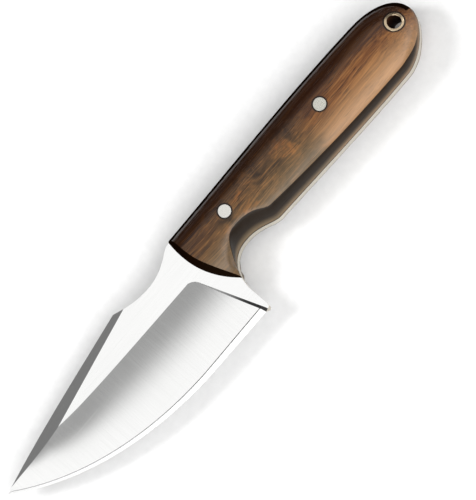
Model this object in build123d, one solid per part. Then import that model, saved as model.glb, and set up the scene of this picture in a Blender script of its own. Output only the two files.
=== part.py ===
from build123d import *

import math
import os

# A full-tang whittling knife, lying on its right side: +X runs from the tip to the butt,
# +Y from the cutting edge to the spine, +Z is up, out of the left side.
# The outline is drawn in stations: x = 0 at the tip, y = 0 at the tip's height and z = 0 in the
# blade's middle plane. The last step moves everything so that the origin is the centre of the
# footprint, on the surface that the knife lies on.

# Driving dimensions, in millimetres
STEEL_THICKNESS = 4.0
HANDLE_THICKNESS = 18.0
LENGTH = 201.6
BOND_LINE = 0.2
COLLAR_WALL = 0.25
PIN_DIAMETER = 4.4
TUBE_OUTER_DIAMETER = 6.35
TUBE_BORE_DIAMETER = 4.7
FRONT_PIN_AT = (113.7, 5.1)
REAR_PIN_AT = (159.3, 4.6)
TUBE_AT = (194.7, 4.4)

STEEL_HALF = STEEL_THICKNESS / 2
HANDLE_HALF = HANDLE_THICKNESS / 2
SCALE_START = STEEL_HALF + BOND_LINE
PIN_RADIUS = PIN_DIAMETER / 2
TUBE_RADIUS = TUBE_OUTER_DIAMETER / 2
BORE_RADIUS = TUBE_BORE_DIAMETER / 2

# Outline of the blade and tang, as control points of cubic curves that meet end to end
TIP = (0, 0)
CLIP_CORNER = (65.3, 12.5)
CLIP = [TIP, (21.5, 5.5), (43.5, 8.7), CLIP_CORNER]
DIP = [(69.3, 10.7), (77, 8.3), (84, 8.4), (91, 12.9)]
SHOULDER = [(91, 12.9), (92.2, 13.67), (93.2, 13.85), (94.3, 13.88)]
SPINE = [(94.3, 13.88), (124.5, 14.3), (155, 15.85), (185, 14.75)]
BUTT_TOP = [(185, 14.75), (192.2, 14.48), (LENGTH, 11.9), (LENGTH, 4.2)]
BUTT_BOTTOM = [(LENGTH, 4.2), (LENGTH, -1.2), (192.2, -9.05), (185, -9.2)]
BELLY = [(185, -9.2), (165, -9.6), (144, -8.7), (124.5, -8.3)]
GROOVE_REAR = [(124.5, -8.3), (120.8, -8.23), (117.6, -4.43), (110.4, -4.87)]
GROOVE_FRONT = [(110.4, -4.87), (103.4, -5.3), (100.6, -11.0), (100.45, -16.5)]
HEEL = [(100.5, -23), (100.5, -24.5), (100.3, -24.95), (98.8, -24.9)]
EDGE_END = (98.2, -24.7)
EDGE_START = (74, -24.7)
EDGE = [EDGE_START, (48.5, -24.7), (20, -17.9), TIP]

# Hollow grind: each face falls from the flat's grind line to a thin wall above the edge bevel
GRIND_LINE_Y = 0.31
GRIND_SWEEP = 1.34
GRIND_SWEEP_X = 27.0
GRIND_SWEEP_LENGTH = 10.5
WALL_AT_TIP = 0.13
WALL_GROWTH = 0.0026
HOLLOW = 0.3
EDGE_HALF_THICKNESS = 0.04
EDGE_BEVEL_SLOPE = 0.19
PLUNGE_TOP = (91.2, -2.2)
PLUNGE_CROWN = [PLUNGE_TOP, (90.4, -0.1), (89, 1.0), (80, 1.6)]
PLUNGE_FOOT = (98.8, -23)
PLUNGE_TOE = (99.8, -27)
PLUNGE_LEAN = 0.6

# False edge: one flat facet on each side of the clip, with its inner edge on the steel's flat
FACET_AT = (27, 1.65)
FACET_RISE = 0.22
FACET_SLOPE = 0.4

# Handle scale: front edge, the ridge between its belly side and face, and the face's section
SCALE_FRONT = [(94.3, 14.4), (92.5, 4.2), (94.5, -4.2), (102, -12.6)]
SCALE_FRONT_LEAN = 0.3
RIDGE_HEIGHT = 7.5
RIDGE_GROOVE_FRONT = [(112, -1.15), (107, -1.15), (104.6, -4.6), (100.35, -16.5)]
RIDGE_GROOVE_REAR = [(125, -5.1), (121.6, -4.87), (120.8, -1.15), (112, -1.15)]
RIDGE_BELLY = [(185, -7), (165, -7.1), (144, -6.4), (125, -5.1)]
RIDGE_BUTT = [(200.9, 4.2), (200.9, -1), (191.5, -6.9), (185, -7)]
LAND = (-0.5, 7.0)
BELLY_DOME_RADIUS = 13.6
SPINE_DOME_RADIUS = 20.0
SPINE_ROUNDING = 6.0
BUTT_SLOPE_START = 183.0
BUTT_SLOPE_RADIUS = 37.0

# Limits that cutting solids reach out to, clear of the knife on every side
REACH = 12.0
BEFORE_TIP_X = -24.0
BEFORE_HANDLE_X = 75.0
PAST_BUTT_X = 220.0
UNDER_EDGE_Y = -36.0
OVER_SPINE_Y = 36.0

BELLY_SIDE_SPARE = 0.5

# Points that set the ground surfaces: places along the edge, and rows up from it
EDGE_PLACES = 16
PAST_EDGE_PLACES = 5
PAST_EDGE_STEP = 6.0
GRIND_SHARES = [-0.1, 0.05, 0.2, 0.35, 0.5, 0.65, 0.8, 0.95, 1.1]
BEVEL_DISTANCES = [-1.0, 1.0, 3.0, 5.0]


def blade_plate():
    """Blank of the blade and its full tang, one flat bar of steel."""
    outline = Wire(
        [
            Bezier(*CLIP),
            Line(CLIP_CORNER, DIP[0]),
            Bezier(*DIP),
            Bezier(*SHOULDER),
            Bezier(*SPINE),
            Bezier(*BUTT_TOP),
            Bezier(*BUTT_BOTTOM),
            Bezier(*BELLY),
            Bezier(*GROOVE_REAR),
            Bezier(*GROOVE_FRONT),
            Line(GROOVE_FRONT[-1], HEEL[0]),
            Bezier(*HEEL),
            Line(HEEL[-1], EDGE_END),
            Line(EDGE_END, EDGE_START),
            Bezier(*EDGE),
        ]
    )
    return extrude(Face(outline), STEEL_HALF, both=True)


def edge_stations():
    """Points along the cutting edge with the direction square to it, tip to heel and past both."""
    curve = Bezier(*EDGE)
    stations = []
    for i in range(EDGE_PLACES + 1):
        share = 1 - i / EDGE_PLACES
        tangent = curve % share
        stations.append((curve @ share, Vector(tangent.Y, -tangent.X)))
    tip, square = stations[0]
    before = tip - Vector(square.Y, -square.X) * PAST_EDGE_STEP
    straight = [
        Vector(EDGE_START[0] + PAST_EDGE_STEP * k, EDGE_START[1])
        for k in range(1, PAST_EDGE_PLACES + 1)
    ]
    return [(before, square)] + stations + [(point, Vector(0, 1)) for point in straight]


def grind_top(x):
    """Height at which the hollow grind would reach the steel's flat."""
    return GRIND_LINE_Y + GRIND_SWEEP * math.exp((GRIND_SWEEP_X - x) / GRIND_SWEEP_LENGTH)


def grind_height(x, share):
    wall = WALL_AT_TIP + WALL_GROWTH * x
    curve = HOLLOW * share + (1 - HOLLOW) * share * share
    return wall + (STEEL_HALF - wall) * curve


def above(rows):
    """Everything above a surface given by rows of points."""
    surface = Face.make_surface_from_array_of_points(rows, tol=0.005)
    return Solid.extrude(surface, Vector(0, 0, REACH))


def ground_area():
    """The stretch that the grinds may cut, ending at the leaning plunge in front of the ricasso."""
    crown = PLUNGE_CROWN[-1]
    outline = Wire(
        [
            Line((BEFORE_TIP_X, UNDER_EDGE_Y), (PLUNGE_TOE[0], UNDER_EDGE_Y)),
            Line((PLUNGE_TOE[0], UNDER_EDGE_Y), PLUNGE_TOE),
            Line(PLUNGE_TOE, PLUNGE_FOOT),
            Line(PLUNGE_FOOT, PLUNGE_TOP),
            Bezier(*PLUNGE_CROWN),
            Line(crown, (FACET_AT[0], OVER_SPINE_Y)),
            Line((FACET_AT[0], OVER_SPINE_Y), (BEFORE_TIP_X, OVER_SPINE_Y)),
            Line((BEFORE_TIP_X, OVER_SPINE_Y), (BEFORE_TIP_X, UNDER_EDGE_Y)),
        ]
    )
    start = Pos(-PLUNGE_LEAN * STEEL_HALF, 0, 0)
    lean = Vector(PLUNGE_LEAN, 0, 1) * REACH
    return Solid.extrude(start * Face(outline), lean)


def hollow_grind():
    rows = []
    for foot, _ in edge_stations():
        top = grind_top(foot.X)
        rows.append(
            [(foot.X, foot.Y + (top - foot.Y) * s, grind_height(foot.X, s)) for s in GRIND_SHARES]
        )
    return above(rows) & ground_area()


def edge_bevel():
    rows = []
    for foot, square in edge_stations():
        row = []
        for distance in BEVEL_DISTANCES:
            point = foot + square * distance
            row.append((point.X, point.Y, EDGE_HALF_THICKNESS + EDGE_BEVEL_SLOPE * distance))
        rows.append(row)
    return above(rows) & ground_area()


def clip_facet():
    facet = Plane(
        origin=(FACET_AT[0], FACET_AT[1], STEEL_HALF),
        x_dir=(1, FACET_RISE, 0),
        z_dir=(-FACET_SLOPE * FACET_RISE, FACET_SLOPE, 1),
    )
    block = Box(LENGTH, -2 * UNDER_EDGE_Y, REACH, align=(Align.CENTER, Align.CENTER, Align.MIN))
    return facet * block


def across(place, radius, low, high):
    """A cylinder through the handle from height low to height high."""
    x, y = place
    solid = Cylinder(radius, high - low, align=(Align.CENTER, Align.CENTER, Align.MIN))
    return Pos(x, y, low) * solid


def fastener_places():
    return [(FRONT_PIN_AT, PIN_RADIUS), (REAR_PIN_AT, PIN_RADIUS), (TUBE_AT, TUBE_RADIUS)]


def blade():
    steel = blade_plate()
    for cutter in (hollow_grind(), edge_bevel(), clip_facet()):
        steel = steel - cutter
        steel = steel - mirror(cutter, about=Plane.XY)
    for place, radius in fastener_places():
        steel = steel - across(place, radius, -REACH, REACH)
    return steel


def handle_outline():
    """The tang's outline behind the blade, closed well in front of the scales."""
    nose = (BEFORE_HANDLE_X, GROOVE_FRONT[-1][1])
    brow = (BEFORE_HANDLE_X, SPINE[0][1])
    return Face(
        Wire(
            [
                Bezier(*SPINE),
                Bezier(*BUTT_TOP),
                Bezier(*BUTT_BOTTOM),
                Bezier(*BELLY),
                Bezier(*GROOVE_REAR),
                Bezier(*GROOVE_FRONT),
                Line(GROOVE_FRONT[-1], nose),
                Line(nose, brow),
                Line(brow, SPINE[0]),
            ]
        )
    )


def rounded_blank():
    """Half of the handle as sawn to the tang's outline, with its outer edge rounded over."""
    blank = Solid.extrude(handle_outline(), Vector(0, 0, HANDLE_HALF))
    top_edges = blank.edges().group_by(Axis.Z)[-1]
    corners = [edge for edge in top_edges if edge.center().X > GROOVE_FRONT[-1][0]]
    return fillet(corners, SPINE_ROUNDING)


def side_wire(z):
    """The belly side's line at one height: it leans in from the tang's outline to the ridge."""
    lean = (z - STEEL_HALF) / (RIDGE_HEIGHT - STEEL_HALF)
    pairs = [
        (BUTT_BOTTOM, RIDGE_BUTT),
        (BELLY, RIDGE_BELLY),
        (GROOVE_REAR, RIDGE_GROOVE_REAR),
        (GROOVE_FRONT, RIDGE_GROOVE_FRONT),
    ]
    curves = []
    for low, high in pairs:
        points = [
            (a[0] + (b[0] - a[0]) * lean, a[1] + (b[1] - a[1]) * lean, z)
            for a, b in zip(low, high)
        ]
        curves.append(Bezier(*points))
    start = curves[0] @ 0
    end = curves[-1] @ 1
    border = Polyline(
        end,
        (BEFORE_HANDLE_X, end.Y, z),
        (BEFORE_HANDLE_X, OVER_SPINE_Y, z),
        (PAST_BUTT_X, OVER_SPINE_Y, z),
        (PAST_BUTT_X, start.Y, z),
        start,
    )
    return Wire(curves + list(border.edges()))


def belly_side():
    """What the belly side leaves standing, from below the middle plane to above the handle."""
    below, over = -BELLY_SIDE_SPARE, HANDLE_HALF + BELLY_SIDE_SPARE
    return Solid.make_loft([side_wire(below), side_wire(over)], ruled=True)


def face_section():
    """Crowned face: a flat land along the middle, falling away to the belly and the spine."""
    belly_y, spine_y = LAND
    belly_reach, spine_reach = 11.0, REACH
    belly_drop = BELLY_DOME_RADIUS - math.sqrt(BELLY_DOME_RADIUS**2 - belly_reach**2)
    spine_drop = SPINE_DOME_RADIUS - math.sqrt(SPINE_DOME_RADIUS**2 - spine_reach**2)
    belly_end = (0, belly_y - belly_reach, HANDLE_HALF - belly_drop)
    spine_end = (0, spine_y + spine_reach, HANDLE_HALF - spine_drop)
    section = Wire(
        [
            TangentArc([(0, belly_y, HANDLE_HALF), belly_end], tangent=(0, -1, 0)),
            Line((0, belly_y, HANDLE_HALF), (0, spine_y, HANDLE_HALF)),
            TangentArc([(0, spine_y, HANDLE_HALF), spine_end], tangent=(0, 1, 0)),
            Line(spine_end, (0, spine_end[1], 0)),
            Line((0, spine_end[1], 0), (0, UNDER_EDGE_Y, 0)),
            Line((0, UNDER_EDGE_Y, 0), (0, UNDER_EDGE_Y, belly_end[2])),
            Line((0, UNDER_EDGE_Y, belly_end[2]), belly_end),
        ]
    )
    run = Vector(PAST_BUTT_X - BEFORE_HANDLE_X, 0, 0)
    return Pos(BEFORE_HANDLE_X, 0, 0) * Solid.extrude(Face(section), run)


def butt_slope():
    """The face falls away to the butt along an arc."""
    x = BUTT_SLOPE_START
    width = OVER_SPINE_Y - UNDER_EDGE_Y
    centre = Pos(x, 0, HANDLE_HALF - BUTT_SLOPE_RADIUS)
    wheel = centre * Rot(90, 0, 0) * Cylinder(BUTT_SLOPE_RADIUS, width)
    straight = Box(
        x - BEFORE_HANDLE_X, width, HANDLE_HALF, align=(Align.MAX, Align.CENTER, Align.MIN)
    )
    return wheel + Pos(x, 0, 0) * straight


def scale_front():
    """Everything behind the scales' curved front edge, which leans back as it rises."""
    start, end = SCALE_FRONT[0], SCALE_FRONT[-1]
    outline = Wire(
        [
            Bezier(*SCALE_FRONT),
            Line(end, (GROOVE_FRONT[0][0], UNDER_EDGE_Y)),
            Line((GROOVE_FRONT[0][0], UNDER_EDGE_Y), (PAST_BUTT_X, UNDER_EDGE_Y)),
            Line((PAST_BUTT_X, UNDER_EDGE_Y), (PAST_BUTT_X, OVER_SPINE_Y)),
            Line((PAST_BUTT_X, OVER_SPINE_Y), (start[0], OVER_SPINE_Y)),
            Line((start[0], OVER_SPINE_Y), start),
        ]
    )
    foot = Pos(-SCALE_FRONT_LEAN * STEEL_HALF, 0, 0) * Face(outline)
    return Solid.extrude(foot, Vector(SCALE_FRONT_LEAN, 0, 1) * REACH)


def handle_half():
    """The left half of the finished handle's outside shape, from the middle plane outwards."""
    return rounded_blank() & belly_side() & face_section() & butt_slope() & scale_front()


def slab(low, high):
    return Pos(LENGTH / 2, 0, low) * Box(
        2 * LENGTH, LENGTH, high - low, align=(Align.CENTER, Align.CENTER, Align.MIN)
    )


def left_scale(half):
    scale = half & slab(SCALE_START, REACH)
    for place, radius in fastener_places():
        scale = scale - across(place, radius + COLLAR_WALL, 0, REACH)
    return scale


def left_epoxy(half):
    """The bond line under a scale, and the thin collars of the same resin round the fasteners."""
    resin = half & slab(STEEL_HALF, SCALE_START)
    for place, radius in fastener_places():
        resin = resin + (half & across(place, radius + COLLAR_WALL, STEEL_HALF, REACH))
    for place, radius in fastener_places():
        resin = resin - across(place, radius, 0, REACH)
    return resin


def pin(place):
    return across(place, PIN_RADIUS, -HANDLE_HALF, HANDLE_HALF)


def lanyard_tube(half):
    """Tube through the butt, both ends ground flush with the sloping faces."""
    upper = half & across(TUBE_AT, TUBE_RADIUS, 0, REACH)
    tube = upper + mirror(upper, about=Plane.XY)
    return tube - across(TUBE_AT, BORE_RADIUS, -REACH, REACH)


def main():
    os.makedirs("parts", exist_ok=True)
    half = handle_half()
    steel = blade()
    scale = left_scale(half)
    resin = left_epoxy(half)
    nodes = {
        "blade": steel,
        "left_scale": scale,
        "right_scale": mirror(scale, about=Plane.XY),
        "left_epoxy": resin,
        "right_epoxy": mirror(resin, about=Plane.XY),
        "front_pin": pin(FRONT_PIN_AT),
        "rear_pin": pin(REAR_PIN_AT),
        "lanyard_tube": lanyard_tube(half),
    }
    middle = steel.bounding_box().center()
    place = Pos(-middle.X, -middle.Y, HANDLE_HALF)
    for name, shape in nodes.items():
        export_step(place * shape, f"parts/{name}.step")


main()
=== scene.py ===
import math

import bmesh
import bpy
from mathutils import Matrix, Vector
from mathutils.geometry import intersect_point_line
from mathutils.kdtree import KDTree


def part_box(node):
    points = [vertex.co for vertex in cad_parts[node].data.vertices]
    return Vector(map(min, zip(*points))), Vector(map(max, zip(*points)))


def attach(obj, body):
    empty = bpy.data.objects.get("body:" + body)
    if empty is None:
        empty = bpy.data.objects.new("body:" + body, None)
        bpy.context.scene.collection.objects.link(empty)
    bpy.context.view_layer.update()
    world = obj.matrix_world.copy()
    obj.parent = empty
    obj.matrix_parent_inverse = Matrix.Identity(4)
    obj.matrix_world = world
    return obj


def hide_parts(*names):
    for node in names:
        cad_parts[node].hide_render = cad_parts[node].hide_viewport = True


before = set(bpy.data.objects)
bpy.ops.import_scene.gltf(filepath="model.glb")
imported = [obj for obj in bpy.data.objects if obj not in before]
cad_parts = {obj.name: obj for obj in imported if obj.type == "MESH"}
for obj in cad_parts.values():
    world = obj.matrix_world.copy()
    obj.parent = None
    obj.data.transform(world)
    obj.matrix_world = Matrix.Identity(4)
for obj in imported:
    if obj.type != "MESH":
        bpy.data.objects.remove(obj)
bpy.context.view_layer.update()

# The knife lies on its right side: +X from tip to butt, +Y from edge to spine, +Z up.
# Shapes are drawn in stations, in millimetres: x = 0 at the tip, y = 0 at the tip's height and
# z = 0 in the blade's middle plane. station() turns them into the frame's metres.
MM = 0.001
TO_MM = 1 / MM

# Steel and handle, as the CAD model has them
STEEL_HALF = 2.0
HANDLE_HALF = 9.0
BOND_LINE = 0.2
SCALE_START = STEEL_HALF + BOND_LINE
COLLAR_WALL = 0.25
PIN_RADIUS = 2.2
TUBE_RADIUS = 3.175
BORE_RADIUS = 2.35
FRONT_PIN_AT = (113.7, 5.1)
REAR_PIN_AT = (159.3, 4.6)
TUBE_AT = (194.7, 4.4)
FASTENERS = ((FRONT_PIN_AT, PIN_RADIUS), (REAR_PIN_AT, PIN_RADIUS), (TUBE_AT, TUBE_RADIUS))
LENGTH = 201.6

# Outline, as control points of cubic curves along which x grows
TIP = (0, 0)
CLIP_CORNER = (65.3, 12.5)
CLIP = [TIP, (21.5, 5.5), (43.5, 8.7), CLIP_CORNER]
DIP = [(69.3, 10.7), (77, 8.3), (84, 8.4), (91, 12.9)]
SHOULDER = [(91, 12.9), (92.2, 13.67), (93.2, 13.85), (94.3, 13.88)]
SPINE = [(94.3, 13.88), (124.5, 14.3), (155, 15.85), (185, 14.75)]
BUTT_TOP = [(185, 14.75), (192.2, 14.48), (LENGTH, 11.9), (LENGTH, 4.2)]
BUTT_BOTTOM = [(185, -9.2), (192.2, -9.05), (LENGTH, -1.2), (LENGTH, 4.2)]
BELLY = [(124.5, -8.3), (144, -8.7), (165, -9.6), (185, -9.2)]
GROOVE_REAR = [(110.4, -4.87), (117.6, -4.43), (120.8, -8.23), (124.5, -8.3)]
GROOVE_FRONT = [(100.45, -16.5), (100.6, -11.0), (103.4, -5.3), (110.4, -4.87)]
HEEL = [(98.8, -24.9), (100.3, -24.95), (100.5, -24.5), (100.5, -23)]
# The heel curve's lowest point, which is also the blade's
HEEL_LOWEST_Y = -24.904
EDGE_START = (74, -24.7)
EDGE = [TIP, (20, -17.9), (48.5, -24.7), EDGE_START]

# Hollow grind, edge bevel, plunge and clip facet
GRIND_LINE_Y = 0.31
GRIND_SWEEP = 1.34
GRIND_SWEEP_X = 27.0
GRIND_SWEEP_LENGTH = 10.5
WALL_AT_TIP = 0.13
WALL_GROWTH = 0.0026
HOLLOW = 0.3
EDGE_HALF_THICKNESS = 0.04
EDGE_BEVEL_SLOPE = 0.19
PLUNGE_TOP = (91.2, -2.2)
PLUNGE_CROWN = [PLUNGE_TOP, (90.4, -0.1), (89, 1.0), (80, 1.6)]
PLUNGE_SLANT = -0.365
PLUNGE_LEAN = 0.6
FACET_AT = (27, 1.65)
FACET_RISE = 0.22
FACET_SLOPE = 0.4

# Handle scale. The belly side leans from the outline, at the steel's face, in to the ridge
# curves, at RIDGE_HEIGHT. The face is level for y within LAND and falls away on both sides.
SCALE_FRONT = [(102, -12.6), (94.5, -4.2), (92.5, 4.2), (94.3, 14.4)]
SCALE_FRONT_LEAN = 0.3
RIDGE_HEIGHT = 7.5
RIDGE_GROOVE_FRONT = [(100.35, -16.5), (104.6, -4.6), (107, -1.15), (112, -1.15)]
RIDGE_GROOVE_REAR = [(112, -1.15), (120.8, -1.15), (121.6, -4.87), (125, -5.1)]
RIDGE_BELLY = [(125, -5.1), (144, -6.4), (165, -7.1), (185, -7)]
RIDGE_BUTT = [(185, -7), (191.5, -6.9), (200.9, -1), (200.9, 4.2)]
LAND = (-0.5, 7.0)
BELLY_DOME_RADIUS = 13.6
SPINE_DOME_RADIUS = 20.0
SPINE_ROUNDING = 6.0
ROUNDING_BLEND = 0.25
ROUNDING_BLEND_RUN = 1.5
LEAST_BLEND = 0.001
BUTT_SLOPE_START = 183.0
BUTT_SLOPE_RADIUS = 37.0

BLADE_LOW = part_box("blade")[0]
ORIGIN = Vector((BLADE_LOW[0], BLADE_LOW[1] - HEEL_LOWEST_Y * MM, HANDLE_HALF * MM))


def station(x, y, z):
    """A place given in stations, in the frame's metres."""
    return ORIGIN + Vector((x, y, z)) * MM


# Small helpers


def mix(a, b, t):
    return a + (b - a) * t


def between(p, q, t):
    return tuple(mix(a, b, t) for a, b in zip(p, q))


def ease(x, low, high):
    t = min(1, max(0, (x - low) / (high - low)))
    return t * t * (3 - 2 * t)


def spread(start, end, count):
    """count values from start towards end, without the end."""
    return [mix(start, end, i / count) for i in range(count)]


def cubic(points, t):
    """Point at t on the cubic curve with these control points."""
    s = 1 - t
    weights = (s * s * s, 3 * s * s * t, 3 * s * t * t, t * t * t)
    return tuple(sum(w * p[k] for w, p in zip(weights, points)) for k in range(2))


def solve(function, low, high):
    """Where a function that rises from negative to positive is zero."""
    for _ in range(32):
        middle = (low + high) / 2
        if function(middle) < 0:
            low = middle
        else:
            high = middle
    return (low + high) / 2


def curve_y(points, x):
    """Height of a curve at x, where its x grows along it."""
    return cubic(points, solve(lambda t: cubic(points, t)[0] - x, 0, 1))[1]


def curve_x(points, y):
    """x of a curve at height y, where its y grows along it."""
    return cubic(points, solve(lambda t: cubic(points, t)[1] - y, 0, 1))[0]


# The blade's outline and surfaces; heights are half thicknesses above the middle plane


def edge_y(x):
    return EDGE_START[1] if x >= EDGE_START[0] else curve_y(EDGE, x)


def spine_y(x):
    if x <= CLIP_CORNER[0]:
        return curve_y(CLIP, x)
    if x <= DIP[0][0]:
        return mix(CLIP_CORNER[1], DIP[0][1], (x - CLIP_CORNER[0]) / (DIP[0][0] - CLIP_CORNER[0]))
    if x <= DIP[-1][0]:
        return curve_y(DIP, x)
    if x <= SHOULDER[-1][0]:
        return curve_y(SHOULDER, x)
    return curve_y(SPINE, x)


def grind_top(x):
    """The grind line, which sweeps up to the clip near the tip."""
    return GRIND_LINE_Y + GRIND_SWEEP * math.exp((GRIND_SWEEP_X - x) / GRIND_SWEEP_LENGTH)


def grind_z(x, y):
    """The hollow, from a thin wall at the edge to the full thickness at the grind line."""
    foot = edge_y(x)
    share = (y - foot) / (grind_top(x) - foot)
    wall = WALL_AT_TIP + WALL_GROWTH * x
    return wall + (STEEL_HALF - wall) * (HOLLOW * share + (1 - HOLLOW) * share * share)


def bevel_z(x, y):
    """The edge bevel, rising with the distance from the edge line."""
    step = 0.05
    if x > step:
        slope = (edge_y(x + step) - edge_y(x - step)) / (2 * step)
    else:
        slope = edge_y(step) / step
    distance = (y - edge_y(x)) / math.hypot(1, slope)
    return EDGE_HALF_THICKNESS + EDGE_BEVEL_SLOPE * distance


def facet_foot_y(x):
    return FACET_AT[1] + FACET_RISE * (x - FACET_AT[0])


def facet_z(x, y):
    return STEEL_HALF - FACET_SLOPE * (y - facet_foot_y(x))


def blade_z(x, y):
    return min(bevel_z(x, y), grind_z(x, y), facet_z(x, y), STEEL_HALF)


def plunge_x(y):
    """The plunge's upper line, round where it runs into the grind line."""
    if y < PLUNGE_TOP[1]:
        return PLUNGE_TOP[0] + PLUNGE_SLANT * (y - PLUNGE_TOP[1])
    return curve_x(PLUNGE_CROWN, y)


def plunge_foot_x(y):
    x = plunge_x(y)
    return x - PLUNGE_LEAN * (STEEL_HALF - min(STEEL_HALF, bevel_z(x, y), grind_z(x, y)))


# Rows of the blade's grid: across the edge bevel, a narrow shoulder band above it, the hollow,
# the flat and the clip facet
BEVEL_ROWS = 3
HOLLOW_ROWS = 36
FLAT_ROWS = 6
FACET_ROWS = 4
SHOULDER_ROW = BEVEL_ROWS
BAND_ROW = SHOULDER_ROW + 1
GRIND_ROW = BAND_ROW + HOLLOW_ROWS
SPINE_ROW = GRIND_ROW + FLAT_ROWS + FACET_ROWS
SHOULDER_BAND = 0.3
HIGHEST_SHOULDER = 0.6

# Columns of the blade's grid, crowded towards the tip and leaning from COLUMN_LEAN_START on
FIRST_COLUMN_X = 0.15
TIP_COLUMNS = 48
TIP_CROWDING = 1.3
CLIP_COLUMNS = 48
CORNER_COLUMNS = 5
DIP_COLUMNS = 30
COLUMN_LEAN_START = 50.0

# Where the flat steel's columns start on the heel, the ricasso and the butt, as shares of each
HEEL_LIP = 0.15
HEEL_SHARES = (0.3, 0.45, 0.6, 0.75, 0.88, 1.0)
RICASSO_SHARES = (0.25, 0.5, 0.75)
LAST_BUTT_SHARE = 0.99


def blade_column(x):
    """A line of the blade's grid from edge to spine, leaning more and more like the plunge."""
    crown_x = plunge_x(GRIND_LINE_Y)
    weight = ease(x, COLUMN_LEAN_START, crown_x)
    top = spine_y(x)
    ridge = min(grind_top(x), top)
    if x < GRIND_SWEEP_X:
        ridge = solve(lambda y: grind_z(x, y) - facet_z(x, y), edge_y(x), top)

    def at(share):
        y = mix(EDGE_START[1], GRIND_LINE_Y, share)
        column_x = x + weight * (plunge_foot_x(y) - crown_x)
        return column_x, mix(edge_y(column_x), ridge, share)

    shoulder = solve(lambda s: bevel_z(*at(s)) - grind_z(*at(s)), 0.0, HIGHEST_SHOULDER)
    points = [at(shoulder * j / BEVEL_ROWS) for j in range(BEVEL_ROWS)]
    band = shoulder + min(SHOULDER_BAND / (ridge - edge_y(x)), (1 - shoulder) / 4)
    points += [at(shoulder)]
    points += [at(mix(band, 1, j / HOLLOW_ROWS)) for j in range(HOLLOW_ROWS + 1)]
    flat_end = ridge if x < GRIND_SWEEP_X else min(top, facet_foot_y(x))
    points += [(x, mix(ridge, flat_end, (j + 1) / FLAT_ROWS)) for j in range(FLAT_ROWS)]
    points += [(x, mix(flat_end, top, (j + 1) / FACET_ROWS)) for j in range(FACET_ROWS)]
    return [(px, py, blade_z(px, py)) for px, py in points]


def tang_columns(lip):
    """Flat lines from the belly outline to the spine outline, from the ricasso to the butt."""
    lows = [cubic(HEEL, t) for t in HEEL_SHARES]
    lows += [between(HEEL[-1], GROOVE_FRONT[0], t) for t in RICASSO_SHARES]
    lows += [cubic(GROOVE_FRONT, t) for t in spread(0, 1, 24)]
    steps = len(lows) + 1
    highs = [mix(lip[-1][0], GROOVE_REAR[0][0], (i + 1) / steps) for i in range(len(lows))]
    pairs = [(low, (x, spine_y(x))) for low, x in zip(lows, highs)]
    for curve, count in ((GROOVE_REAR, 20), (BELLY, 30)):
        for t in spread(0, 1, count):
            low = cubic(curve, t)
            pairs.append((low, (low[0], spine_y(low[0]))))
    for t in spread(0, 1, 32) + [LAST_BUTT_SHARE]:
        pairs.append((cubic(BUTT_BOTTOM, t), cubic(BUTT_TOP, t)))
    first, last = lip[0][1], lip[-1][1]
    shares = [(y - first) / (last - first) for _, y, _ in lip]
    return [[(*between(low, high, s), STEEL_HALF) for s in shares] for low, high in pairs]


def blade_columns():
    """Columns of the ground blade up to the plunge's foot, and of the flat steel behind it."""
    crown_x = plunge_x(GRIND_LINE_Y)
    facet_end_x = solve(lambda x: facet_foot_y(x) - spine_y(x), CLIP_CORNER[0], DIP[0][0])
    reach = GRIND_SWEEP_X - FIRST_COLUMN_X
    places = [FIRST_COLUMN_X + reach * share**TIP_CROWDING for share in spread(0, 1, TIP_COLUMNS)]
    places += spread(GRIND_SWEEP_X, CLIP_CORNER[0], CLIP_COLUMNS)
    places += spread(CLIP_CORNER[0], facet_end_x, CORNER_COLUMNS)
    places += [facet_end_x]
    places += spread(DIP[0][0], crown_x, DIP_COLUMNS) + [crown_x]
    ground = [blade_column(x) for x in places]
    lip = [
        (plunge_x(y), y, STEEL_HALF) if j < GRIND_ROW else (x, y, z)
        for j, (x, y, z) in enumerate(ground[-1])
    ]
    lip[0] = (*cubic(HEEL, HEEL_LIP), STEEL_HALF)
    return ground, [lip] + tang_columns(lip)


# Mesh work

HOLE_SEGMENTS = 64
RING_SEGMENTS = 72
SQUARE_CORNER = math.radians(60)
UPRIGHT = 0.3


def quad(bm, vertices, material=0):
    """A face from corners of which some may be the same vertex."""
    corners = list(dict.fromkeys(vertices))
    if len(corners) > 2 and not bm.faces.get(corners):
        bm.faces.new(corners).material_index = material


def vertex_maker(bm):
    """Gives one vertex per place, so that lines which meet share their points."""
    made = {}

    def make(x, y, z):
        key = (round(x, 4), round(y, 4), round(z, 4))
        if key not in made:
            made[key] = bm.verts.new(station(x, y, z))
        return made[key]

    return make


def to_mesh(bm, name):
    """Turns a finished bmesh into a mesh whose faces all look outwards."""
    bmesh.ops.recalc_face_normals(bm, faces=bm.faces)
    mesh = bpy.data.meshes.new(name)
    bm.to_mesh(mesh)
    bm.free()
    return mesh


def crease(piece, face_angle, wall_angle):
    """Smooth shading, broken along edges sharper than face_angle, or wall_angle between walls."""
    mesh = piece.data
    bm = bmesh.new()
    bm.from_mesh(mesh)
    bm.normal_update()
    for face in bm.faces:
        face.smooth = True
    for edge in bm.edges:
        walls = all(abs(face.normal.z) < UPRIGHT for face in edge.link_faces)
        limit = math.radians(wall_angle if walls else face_angle)
        edge.smooth = edge.calc_face_angle(math.pi) < limit
    bm.to_mesh(mesh)
    bm.free()


def apply_modifiers(piece):
    bpy.context.view_layer.update()
    ready = piece.evaluated_get(bpy.context.evaluated_depsgraph_get())
    mesh = bpy.data.meshes.new_from_object(ready)
    piece.modifiers.clear()
    piece.data = mesh


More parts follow.
